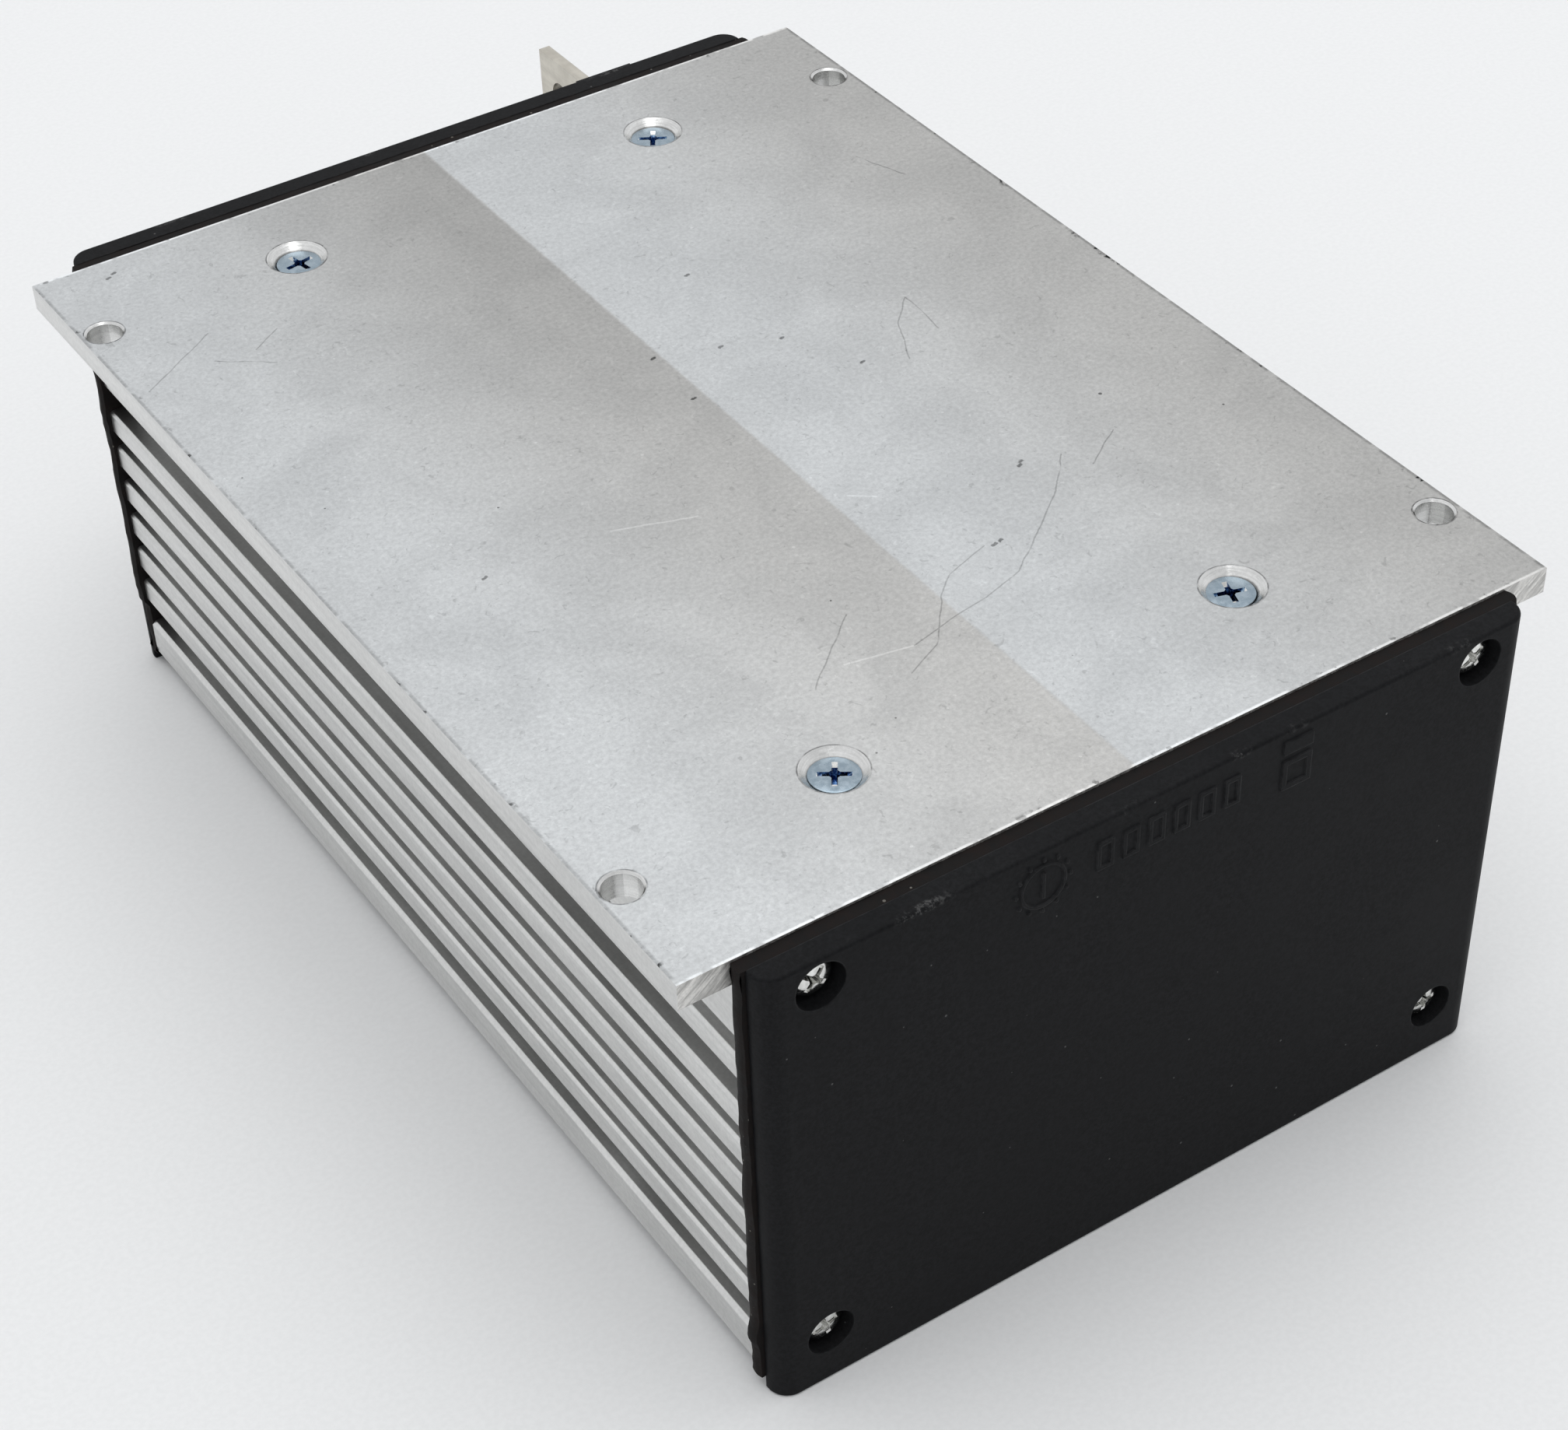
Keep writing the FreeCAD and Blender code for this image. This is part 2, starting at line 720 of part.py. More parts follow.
os.makedirs("parts", exist_ok=True)
save("housing_tube", housing())
save("front_cap", front_cap())
save("front_gasket", gasket(-1))
save("front_cap_screws", cap_screws(-1))
save("rear_cap", rear_cap())
save("rear_gasket", gasket(1))
save("rear_cap_screws", cap_screws(1))
save("roof_screws", roof_screw_set())
save("thermal_sheet", thermal_sheet())
save("heat_spreader", heat_spreader())
save("power_board", power_board())
save("power_board_screws", power_board_screws())
save("transistors", transistors())
save("busbar_positive", busbar(fet_pitch_x))
save("busbar_negative", busbar(-fet_pitch_x))
save("capacitor_board", capacitor_board())
save("capacitors", capacitor_cans())
save("short_spacers", short_spacers())
save("long_spacers", long_spacers())
save("control_board", control_board())
save("control_screws", control_screws())
save("processor", processor())
save("gate_drivers", gate_drivers())
save("supply_parts", supply_parts())
save("riser_board", riser_board())
save("riser_sockets", riser_sockets())
save("insulating_sheet", insulating_sheet())
save("terminal_phase_u", lower_blade(phase_x[0]))
save("terminal_phase_v", lower_blade(phase_x[1]))
save("terminal_phase_w", lower_blade(phase_x[2]))
save("terminal_positive", lower_blade(upper_x))
save("terminal_negative", upper_blade())
save("terminal_grommets", terminal_grommets())
save("current_sensors", current_sensors())
save("connector_body", connector_body())
save("connector_pins", connector_pins())
save("connector_seal", connector_seal())
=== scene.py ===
import json
import math

import bmesh
import bpy
from mathutils import Euler, Matrix, Vector, noise


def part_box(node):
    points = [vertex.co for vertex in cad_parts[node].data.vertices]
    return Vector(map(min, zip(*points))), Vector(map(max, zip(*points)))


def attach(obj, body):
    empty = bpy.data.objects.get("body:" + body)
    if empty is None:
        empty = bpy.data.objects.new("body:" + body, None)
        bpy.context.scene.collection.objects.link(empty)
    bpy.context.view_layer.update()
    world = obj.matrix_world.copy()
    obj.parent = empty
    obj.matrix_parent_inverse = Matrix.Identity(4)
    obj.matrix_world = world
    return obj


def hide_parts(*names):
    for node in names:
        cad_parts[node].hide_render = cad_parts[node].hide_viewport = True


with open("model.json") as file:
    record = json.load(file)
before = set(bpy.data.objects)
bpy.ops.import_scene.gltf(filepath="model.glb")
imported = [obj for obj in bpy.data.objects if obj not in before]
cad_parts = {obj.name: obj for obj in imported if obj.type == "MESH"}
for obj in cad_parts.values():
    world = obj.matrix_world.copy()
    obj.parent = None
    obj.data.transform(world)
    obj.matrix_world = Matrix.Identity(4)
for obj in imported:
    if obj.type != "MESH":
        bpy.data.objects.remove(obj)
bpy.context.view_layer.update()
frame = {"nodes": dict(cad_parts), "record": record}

MM = 0.001
NODES = frame["nodes"]
ROOF_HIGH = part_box("housing_tube")[1]
WING_X = ROOF_HIGH.x
TUBE_END = ROOF_HIGH.y
FLOOR_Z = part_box("front_cap")[0].z
CAP_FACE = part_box("rear_cap_screws")[1].y + 1.7 * MM    # how far both caps' faces are from y = 0
PASS_LINE = -1.25 * MM      # x of the line where the roof's two milling passes meet
SINK_HEAD = 4.37 * MM       # radius of the countersunk heads
WING_HOLE = (80.5, 91.5)    # x and y of a wing hole, in millimetres
SINK_HOLES = ((39.7, -87.7), (39.7, 93.9))    # the roof screws on the right, in millimetres
FRONT_LIGHT = 0.66          # strength of the room's light from the front
ROOM_LIGHT = 0.86           # and from everywhere else


# ------------------------------------------------------------------ materials
class Paint:
    """A node material being built. Each call adds a node and returns its output."""

    def __init__(self, name, metallic=0.0, specular=0.5):
        self.mat = bpy.data.materials.new(name)
        self.mat.use_nodes = True
        self.nodes = self.mat.node_tree.nodes
        self.links = self.mat.node_tree.links
        self.shader = self.nodes["Principled BSDF"]
        self.shader.inputs["Metallic"].default_value = metallic
        self.shader.inputs["Specular IOR Level"].default_value = specular
        self.place = self.nodes.new("ShaderNodeTexCoord").outputs["Object"]
        self.facing = self.nodes.new("ShaderNodeNewGeometry").outputs["Normal"]

    def feed(self, socket, value):
        if isinstance(value, bpy.types.NodeSocket):
            self.links.new(value, socket)
        elif socket.type == "VECTOR" and len(value) == 4:
            socket.default_value = value[:3]
        else:
            socket.default_value = value

    def math(self, operation, a, b=0.0):
        node = self.nodes.new("ShaderNodeMath")
        node.operation = operation
        self.feed(node.inputs[0], a)
        self.feed(node.inputs[1], b)
        return node.outputs[0]

    def add(self, a, b):
        return self.math("ADD", a, b)

    def minus(self, a, b):
        return self.math("SUBTRACT", a, b)

    def times(self, a, b):
        return self.math("MULTIPLY", a, b)

    def split(self, vector):
        node = self.nodes.new("ShaderNodeSeparateXYZ")
        self.links.new(vector, node.inputs[0])
        return node.outputs[0], node.outputs[1], node.outputs[2]

    def stretch(self, scale, turn=(0.0, 0.0, 0.0)):
        """The place turned first and then scaled, for patterns drawn out along one way."""
        node = self.nodes.new("ShaderNodeMapping")
        node.vector_type = "TEXTURE"
        self.links.new(self.place, node.inputs["Vector"])
        node.inputs["Scale"].default_value = [1.0 / v for v in scale]
        node.inputs["Rotation"].default_value = turn
        return node.outputs[0]

    def noise(self, scale, detail=3.0, rough=0.5, at=None, twist=0.0):
        node = self.nodes.new("ShaderNodeTexNoise")
        self.links.new(at or self.place, node.inputs["Vector"])
        node.inputs["Scale"].default_value = scale
        node.inputs["Detail"].default_value = detail
        node.inputs["Roughness"].default_value = rough
        node.inputs["Distortion"].default_value = twist
        return node.outputs["Fac"]

    def cells(self, scale):
        """Distance to the nearest random point, and that cell's own random number."""
        node = self.nodes.new("ShaderNodeTexVoronoi")
        self.links.new(self.place, node.inputs["Vector"])
        node.inputs["Scale"].default_value = scale
        return node.outputs["Distance"], self.split(node.outputs["Color"])[0]

    def specks(self, scale, share, radius):
        """1 inside small round specks, in the cells whose random number is above share."""
        distance, pick = self.cells(scale)
        return self.math("LESS_THAN", distance, self.span(pick, share, 1.0, 0.0, radius))

    def span(self, value, low, high, start=0.0, end=1.0):
        """Goes smoothly from start to end while value goes from low to high."""
        node = self.nodes.new("ShaderNodeMapRange")
        node.interpolation_type = "SMOOTHSTEP"
        for socket, v in zip(node.inputs, (value, low, high, start, end)):
            self.feed(socket, v)
        return node.outputs[0]

    def vary(self, texture, start=0.0, end=1.0):
        """Spreads a noise, which mostly stays between 0.3 and 0.7, from start to end."""
        return self.span(texture, 0.3, 0.7, start, end)

    def blend(self, factor, a, b):
        return self.add(a, self.times(factor, self.minus(b, a)))

    def tint(self, factor, a, b):
        node = self.nodes.new("ShaderNodeMix")
        node.data_type = "RGBA"
        self.feed(node.inputs[0], factor)
        self.feed(node.inputs[6], a)
        self.feed(node.inputs[7], b)
        return node.outputs[2]

    def shade(self, color, factor):
        """The colour made lighter or darker by a factor."""
        node = self.nodes.new("ShaderNodeVectorMath")
        node.operation = "SCALE"
        self.feed(node.inputs[0], color)
        self.feed(node.inputs["Scale"], factor)
        return node.outputs[0]

    def soft_edge(self, radius):
        node = self.nodes.new("ShaderNodeBevel")
        node.samples = 6
        node.inputs["Radius"].default_value = radius
        return node.outputs[0]

    def bump(self, height, depth, normal=None, strength=0.6):
        node = self.nodes.new("ShaderNodeBump")
        node.inputs["Strength"].default_value = strength
        node.inputs["Distance"].default_value = depth
        self.feed(node.inputs["Height"], height)
        if normal is not None:
            self.feed(node.inputs["Normal"], normal)
        return node.outputs[0]

    def done(self, color, roughness, normal=None):
        self.feed(self.shader.inputs["Base Color"], color)
        self.feed(self.shader.inputs["Roughness"], roughness)
        if normal is not None:
            self.feed(self.shader.inputs["Normal"], normal)
        return self.mat


def rgb(r, g, b):
    return (r, g, b, 1.0)


def segment_group():
    """Distance in plan from a point to a straight segment."""
    tree = bpy.data.node_groups.new("segment_distance", "ShaderNodeTree")
    for name in ("Place", "From", "To"):
        tree.interface.new_socket(name, in_out="INPUT", socket_type="NodeSocketVector")
    tree.interface.new_socket("Distance", in_out="OUTPUT", socket_type="NodeSocketFloat")
    source = tree.nodes.new("NodeGroupInput")
    result = tree.nodes.new("NodeGroupOutput")

    def vector(operation, a, b, scale=None):
        node = tree.nodes.new("ShaderNodeVectorMath")
        node.operation = operation
        tree.links.new(a, node.inputs[0])
        if b is not None:
            tree.links.new(b, node.inputs[1])
        if scale is not None:
            tree.links.new(scale, node.inputs["Scale"])
        return node

    def number(operation, a, b):
        node = tree.nodes.new("ShaderNodeMath")
        node.operation = operation
        node.use_clamp = operation == "DIVIDE"
        tree.links.new(a, node.inputs[0])
        tree.links.new(b, node.inputs[1])
        return node.outputs[0]

    place, start, end = (source.outputs[i] for i in range(3))
    away = vector("SUBTRACT", place, start).outputs[0]
    run = vector("SUBTRACT", end, start).outputs[0]
    along = vector("DOT_PRODUCT", away, run).outputs["Value"]
    size = vector("DOT_PRODUCT", run, run).outputs["Value"]
    nearest = vector("SCALE", run, None, number("DIVIDE", along, size)).outputs[0]
    gap = vector("SUBTRACT", away, nearest).outputs[0]
    tree.links.new(vector("LENGTH", gap, None).outputs["Value"], result.inputs[0])
    return tree


# Scratches and dents on the roof, listed as (x, y) in millimetres.
SCRATCHES = [
    [(39.5, -41.5), (31, -50.5), (24, -56), (13.5, -64), (5, -66.5), (-1.5, -67.5), (-12, -70)],
    [(13, -55), (3.5, -58), (-1, -62), (-3, -65), (-9, -72), (-16.5, -75.5)],
    [(-16.5, -57), (-24, -63.5), (-32, -70.5)],
    [(35, -2), (40, 9), (46, 15)],
    [(45, 3), (46, 15)],
    [(51, -41), (42, -47)],
    [(67, 62), (71, 51)],
    [(-54, 74), (-60, 70)],
    [(-65, 80), (-82, 69)],
    [(-68, 71), (-59, 64)],
]
BRIGHT_SCRATCHES = [[(-24, -67.5), (-12, -70)], [(-36, -15), (-22, -20)], [(2, -30), (6, -33)]]
PITS = [
    (19.6, 17), (27, 2), (17, 45), (-3, 25), (-4, 10), (15.5, -55.5), (31, -40), (-71, 109),
    (-72.5, 108), (14, -55.8), (32, -39.2), (-60, -14), (9, 21),
]


def scratch_distance(p, lines):
    """Distance from the nearest of the lines, each a little wavy."""
    x, y = p.split(p.place)[:2]
    waver = 1.6 * MM
    flat = p.nodes.new("ShaderNodeCombineXYZ")
    p.feed(flat.inputs[0], p.add(x, p.times(p.add(p.noise(160.0), -0.5), waver)))
    p.feed(flat.inputs[1], y)
    nearest = None
    for line in lines:
        for a, b in zip(line, line[1:]):
            node = p.nodes.new("ShaderNodeGroup")
            node.node_tree = SEGMENT
            p.links.new(flat.outputs[0], node.inputs[0])
            node.inputs[1].default_value = (a[0] * MM, a[1] * MM, 0.0)
            node.inputs[2].default_value = (b[0] * MM, b[1] * MM, 0.0)
            d = node.outputs[0]
            nearest = d if nearest is None else p.math("MINIMUM", nearest, d)
    return nearest


# Light and dim ends of the painted sheen across each milling pass.
SHEEN_LIT_METAL = rgb(0.590, 0.604, 0.610)
SHEEN_DIM_METAL = rgb(0.606, 0.600, 0.584)


def roof_pass_painted_sheen(p, x, y):
    """Two passes of a wide cutter faced the roof; each is painted from light and cool to dark and
    warm, a painted sheen for the changing reflection of the cutter's arcs.
    """
    half_line = 0.7 * MM
    right = p.span(x, PASS_LINE - half_line, PASS_LINE + half_line)
    left_run = p.math("DIVIDE", p.add(x, WING_X), WING_X + PASS_LINE)
    right_run = p.math("DIVIDE", p.add(x, -PASS_LINE), WING_X - PASS_LINE)
    run = p.blend(right, left_run, right_run)
    cloudy = p.times(p.add(p.noise(14.0, 4.0, 0.6), -0.5), 0.16)
    left_depth = p.span(y, -0.9 * TUBE_END, 0.9 * TUBE_END, 0.11, 0.36)
    depth = p.blend(right, left_depth, 0.24)
    # How far along the painted sheen, from light to dark, each point lies.
    darker = p.span(p.add(run, cloudy), 0.1, 1.0)
    color = p.tint(darker, SHEEN_LIT_METAL, SHEEN_DIM_METAL)
    return color, p.minus(1.05, p.times(depth, darker))


def roof_pits(p):
    """Small dark pits, more of them in some places, and a few larger dents."""
    distance, pick = p.cells(125.0)
    crowd = p.span(p.noise(22.0, 3.0), 0.5, 0.68, 0.45, 1.25)
    size = p.times(p.span(pick, 0.55, 1.0, 0.0, 0.055), crowd)
    pit = p.math("LESS_THAN", distance, size)
    dents = scratch_distance(p, [[(x, y), (x + 0.6, y + 0.2)] for x, y in PITS])
    ragged = p.times(p.add(p.noise(1500.0, 2.0), -0.5), 0.7 * MM)
    dent = p.span(p.add(dents, ragged), 0.2 * MM, 0.42 * MM, 1.0, 0.0)
    return p.math("MAXIMUM", pit, dent)


def hole_rings(p, x, y):
    """The dark, broken burr line around every hole that the cutter left in the roof."""
    right_half = p.math("ABSOLUTE", x)
    wing_x, wing_y = WING_HOLE
    spots = [(sink_x, sink_y, 5.75) for sink_x, sink_y in SINK_HOLES]
    spots += [(wing_x, -wing_y, 3.75), (wing_x, wing_y, 3.75)]
    nearest = None
    for hole_x, hole_y, reach in spots:
        dx = p.add(right_half, -hole_x * MM)
        dy = p.add(y, -hole_y * MM)
        away = p.math("SQRT", p.add(p.times(dx, dx), p.times(dy, dy)))
        ring = p.math("ABSOLUTE", p.add(away, -reach * MM))
        nearest = ring if nearest is None else p.math("MINIMUM", nearest, ring)
    line = p.span(nearest, 0.08 * MM, 0.28 * MM, 1.0, 0.0)
    return p.times(line, p.span(p.noise(420.0, 3.0), 0.35, 0.6, 0.25, 1.0))


def roof_grain(p, tone, stain):
    """The fine texture that the cutter and handling left on the whole roof, with small bright specks
    painted as glints.
    """
    tone = p.times(tone, p.vary(p.noise(1100.0, 4.0, 0.75), 0.90, 1.10))
    # Small bright specks: painted glints.
    tone = p.add(tone, p.times(p.specks(300.0, 0.8, 0.09), 0.16))
    tone = p.times(tone, p.span(stain, 0.35, 0.65, 0.955, 1.03))
    scar = p.noise(560.0, 2.0, 0.6, twist=1.2)
    tone = p.times(tone, p.span(scar, 0.64, 0.72, 1.0, 0.82))
    return p.times(tone, p.span(scar, 0.28, 0.35, 1.10, 1.0))


def roof_marks(p, tone, x, y):
    """Scratches, pits and the burr lines around the holes."""
    broken = p.span(p.noise(160.0, 3.0), 0.3, 0.46)
    dark_line = p.span(scratch_distance(p, SCRATCHES), 0.05 * MM, 0.2 * MM, 0.33, 0.0)
    tone = p.minus(tone, p.times(dark_line, broken))
    light_line = p.span(scratch_distance(p, BRIGHT_SCRATCHES), 0.1 * MM, 0.3 * MM, 0.2, 0.0)
    tone = p.add(tone, light_line)
    tone = p.minus(tone, p.times(roof_pits(p), 0.62))
    return p.minus(tone, p.times(hole_rings(p, x, y), 0.6))


def roof_edges(p, tone, x, y):
    """A painted highlight along the burr of the sawn edges, a dark line along the wings, and nicks
    in both.
    """
    edge_x = p.minus(WING_X, p.math("ABSOLUTE", x))
    edge_y = p.minus(TUBE_END, p.math("ABSOLUTE", y))
    wing_line = p.span(edge_x, 0.3 * MM, 0.8 * MM, -0.3, 0.0)
    # Bright line along the sawn edges: a painted highlight on the burr.
    sawn_edge_highlight = p.span(edge_y, 0.3 * MM, 0.7 * MM, 0.55, 0.0)
    broken = p.span(p.noise(260.0, 3.0), 0.36, 0.5)
    tone = p.add(tone, p.times(p.add(wing_line, sawn_edge_highlight), broken))
    near_edge = p.span(p.math("MINIMUM", edge_x, edge_y), 0.2 * MM, 1.5 * MM, 0.6, 0.0)
    return p.minus(tone, p.times(near_edge, p.span(p.noise(420.0, 3.0), 0.62, 0.68)))


def milled_roof():
    """The roof's face: the two passes with their painted sheen, their grain with painted glints, a
    painted highlight on the sawn edges, and the marks of use on top.
    """
    p = Paint("milled_roof", metallic=1.0)
    x, y = p.split(p.place)[:2]
    stain = p.noise(38.0, 6.0, 0.62, twist=0.6)
    color, tone = roof_pass_painted_sheen(p, x, y)
    tone = roof_grain(p, tone, stain)
    tone = roof_marks(p, tone, x, y)
    tone = roof_edges(p, tone, x, y)
    hair = p.noise(1.0, 2.0, 0.5, p.stretch((40.0, 2600.0, 1.0), (0.0, 0.0, 0.9)))
    tone = p.add(tone, p.span(hair, 0.7, 0.8, 0.0, 0.05))
    streaks = p.noise(1.0, 3.0, 0.6, p.stretch((30.0, 700.0, 700.0), (0.0, 0.0, 0.25)))
    height = p.add(p.noise(1100.0, 3.0, 0.7), streaks)
    normal = p.bump(height, 0.008 * MM, strength=0.8)
    return p.done(p.shade(color, tone), p.vary(stain, 0.36, 0.47), normal)


def extruded_flank():
    """Faces left by the die: lines along the tube, a few knocks, and painted shade in the grooves.
    """
    p = Paint("extruded_flank", metallic=1.0)
    fine = p.noise(1.0, 3.0, 0.6, p.stretch((900.0, 14.0, 900.0)))
    wide = p.noise(1.0, 3.0, 0.6, p.stretch((240.0, 3.0, 240.0)))
    cloud = p.noise(45.0, 5.0, 0.6)
    grain = p.noise(1300.0, 3.0, 0.7)
    knock = p.specks(110.0, 0.85, 0.05)
    groove_floor, rib_top = 70.5 * MM, 74.9 * MM
    tone = p.times(p.vary(fine, 0.93, 1.03), p.vary(wide, 0.95, 1.03))
    tone = p.times(tone, p.vary(cloud, 0.96, 1.03))
    tone = p.times(tone, p.vary(grain, 0.94, 1.05))
    from_middle = p.math("ABSOLUTE", p.split(p.place)[0])
    # Darker on faces set in from the rib tops down to the groove floors: painted shade in the
    # grooves.
    tone = p.times(tone, p.span(from_middle, groove_floor, rib_top, 0.60, 1.0))
    tone = p.minus(tone, p.times(knock, 0.4))
    height = p.add(fine, p.times(grain, 0.3))
    normal = p.bump(height, 0.010 * MM, p.soft_edge(0.3 * MM), 0.8)
    return p.done(p.shade(rgb(0.70, 0.70, 0.69), tone), p.vary(cloud, 0.30, 0.40), normal)


def sawn_end():
    """Slanting saw marks across the cut ends."""
    p = Paint("sawn_end", metallic=1.0)
    slant = (0.0, math.radians(-40.0), 0.0)
    lines = p.noise(1.0, 4.0, 0.65, p.stretch((160.0, 160.0, 1500.0), slant))
    grain = p.noise(1500.0, 3.0, 0.7)
    tone = p.times(p.span(lines, 0.35, 0.65, 0.66, 1.18), p.vary(grain, 0.88, 1.1))
    normal = p.bump(p.add(lines, p.times(grain, 0.6)), 0.05 * MM, p.soft_edge(0.2 * MM), 0.8)
    return p.done(p.shade(rgb(0.68, 0.67, 0.65), tone), p.vary(grain, 0.42, 0.58), normal)


def drilled_bore():
    """A drilled wall: rings left by the drill, and painted light and shade by which way the wall
    faces.
    """
    p = Paint("drilled_bore", metallic=1.0)
    nx, ny = p.split(p.facing)[:2]
    rings = p.noise(1.0, 3.0, 0.6, p.stretch((60.0, 60.0, 2800.0)))
    grain = p.noise(1900.0, 3.0, 0.7)
    # A narrow strip of wall facing one way is painted lighter and the rest darker: painted light and
    # shade.
    painted_shade_side = p.math("GREATER_THAN", p.add(p.times(nx, 0.82), p.times(ny, 0.57)), -0.93)
    tone = p.times(p.vary(rings, 0.88, 1.05), p.vary(grain, 0.92, 1.06))
    tone = p.times(tone, p.blend(painted_shade_side, 1.08, 0.86))
    normal = p.bump(p.add(rings, grain), 0.03 * MM, strength=0.8)
    return p.done(p.shade(rgb(0.74, 0.74, 0.73), tone), p.vary(grain, 0.25, 0.38), normal)


def turned_cone():
    """The freshly cut, bright faces of countersinks and hole rims, with painted shade around the
    screw heads.
    """
    p = Paint("turned_cone", metallic=1.0)
    rings = p.noise(1.0, 3.0, 0.6, p.stretch((200.0, 200.0, 4200.0)))
    grain = p.noise(1700.0, 3.0, 0.7)
    z = p.split(p.place)[2]
    head_z_low, head_z_high = -1.40 * MM, -1.12 * MM
    tone = p.times(p.vary(rings, 0.90, 1.08), p.vary(grain, 0.95, 1.05))
    # Darker towards the cone's foot, where the screw head meets it: painted shade in the gap.
    tone = p.times(tone, p.span(z, head_z_low, head_z_high, 0.28, 1.0))
    normal = p.bump(rings, 0.02 * MM, strength=0.8)
    return p.done(p.shade(rgb(0.74, 0.74, 0.73), tone), p.vary(grain, 0.16, 0.26), normal)


def cap_plastic():
    """The caps' dark plastic, with scuffs on its top edge, dust, and a painted highlight along its
    corners.
    """
    p = Paint("moulded_cap_plastic", specular=0.09)
    y, z = p.split(p.place)[1:]
    blotch = p.noise(55.0, 5.0, 0.6, twist=0.4)
    fine = p.noise(2600.0, 3.0, 0.6)
    flow = p.noise(1.0, 4.0, 0.6, p.stretch((70.0, 70.0, 160.0)))
    top = p.span(z, -1.7 * MM, -0.9 * MM)
    outer = p.span(p.math("ABSOLUTE", y), CAP_FACE - 1.6 * MM, CAP_FACE - 0.9 * MM)
    patch = p.span(p.noise(60.0, 3.0), 0.53, 0.66)
    rubbed = p.span(p.noise(900.0, 5.0, 0.75), 0.48, 0.62)
    scuff = p.times(p.times(top, outer), p.times(patch, rubbed))
    speck = p.specks(380.0, 0.80, 0.085)
    color = p.tint(p.vary(blotch), rgb(0.0048, 0.0050, 0.0058), rgb(0.0085, 0.0087, 0.0095))
    color = p.tint(p.times(scuff, 0.7), color, rgb(0.09, 0.09, 0.09))
    color = p.shade(color, p.vary(p.noise(1500.0, 3.0, 0.75), 0.68, 1.4))
    color = p.tint(p.times(speck, 0.6), color, rgb(0.12, 0.12, 0.12))
    edge = p.soft_edge(0.45 * MM)
    flatness = p.nodes.new("ShaderNodeVectorMath")
    flatness.operation = "DOT_PRODUCT"
    p.feed(flatness.inputs[0], edge)
    p.feed(flatness.inputs[1], p.facing)
    # Where the rounded normal turns from the flat one, along corners and edges, a lighter grey is
    # painted: painted highlight.
    painted_edge_highlight = p.span(flatness.outputs["Value"], 0.86, 0.985, 1.0, 0.0)
    painted_edge_highlight = p.times(painted_edge_highlight, p.span(p.noise(300.0, 4.0, 0.7), 0.35, 0.65, 0.2, 1.0))
    color = p.tint(p.times(painted_edge_highlight, 0.55), color, rgb(0.055, 0.056, 0.058))
    rough = p.vary(blotch, 0.50, 0.62)
    height = p.add(p.times(fine, 0.5), p.times(flow, 1.4))
    height = p.add(height, p.times(scuff, 0.6))
    return p.done(color, rough, p.bump(height, 0.03 * MM, edge))


def rubber(name, warm):
    """Dark crumbly rubber with pale specks. A higher warm makes it browner."""
    p = Paint(name, specular=0.10)
    blotch = p.noise(240.0, 5.0, 0.7, twist=0.5)
    crumb = p.noise(1500.0, 4.0, 0.7)
    speck = p.specks(620.0, 0.8, 0.16)
    brown = rgb(0.0100 + warm, 0.0088, 0.0080)
    color = p.tint(p.vary(blotch), rgb(0.0050, 0.0048, 0.0048), brown)
    color = p.tint(p.times(speck, 0.6), color, rgb(0.20, 0.19, 0.17))
    height = p.add(blotch, p.times(crumb, 0.35))
    return p.done(color, p.vary(blotch, 0.55, 0.75), p.bump(height, 0.12 * MM, strength=0.7))


def zinc_screw():
    """The bluish zinc plating of the roof screws."""
    p = Paint("zinc_plated_steel", metallic=1.0)
    cloud = p.noise(700.0, 3.0, 0.6)
    fine = p.noise(5200.0, 2.0, 0.6)
    color = p.tint(p.vary(cloud), rgb(0.30, 0.375, 0.435), rgb(0.39, 0.465, 0.525))
    rough = p.vary(cloud, 0.20, 0.34)
    height = p.add(cloud, p.times(fine, 0.5))
    return p.done(color, rough, p.bump(height, 0.02 * MM, strength=0.5))


def recess_painted_shade():
    """A dark, saturated blue inside the cross recesses: painted shade and painted repeated
    reflections of the blue-tinted plating.
    """
    p = Paint("recess_painted_shade", metallic=1.0)
    cloud = p.noise(1500.0, 3.0, 0.6)
    # The dark end of this blue is painted shade in the recess.
    color = p.tint(p.span(cloud, 0.45, 0.62), rgb(0.03, 0.075, 0.20), rgb(0.38, 0.55, 0.74))
    return p.done(color, p.vary(cloud, 0.10, 0.24), p.bump(cloud, 0.03 * MM))


def nickel_screw():
    """The bright plating of the cap screws."""
    p = Paint("bright_nickel_steel", metallic=1.0)
    cloud = p.noise(900.0, 3.0, 0.6)
    color = p.tint(p.vary(cloud), rgb(0.62, 0.62, 0.60), rgb(0.86, 0.86, 0.84))
    rough = p.vary(cloud, 0.10, 0.22)
    return p.done(color, rough, p.bump(cloud, 0.03 * MM, strength=0.5))


def metal(name, dark, light, rough, lines):
    """A plain metal with stretched tool lines and a slight cloudiness."""
    p = Paint(name, metallic=1.0)
    cloud = p.noise(120.0, 5.0, 0.6, twist=0.3)
    streak = p.noise(1.0, 3.0, 0.6, p.stretch(lines))
    color = p.tint(p.vary(cloud), dark, light)
    color = p.shade(color, p.vary(streak, 0.92, 1.05))
    roughness = p.vary(cloud, rough - 0.06, rough + 0.08)
    height = p.add(streak, p.times(p.noise(2400.0, 2.0), 0.5))
    return p.done(color, roughness, p.bump(height, 0.02 * MM, p.soft_edge(0.15 * MM)))


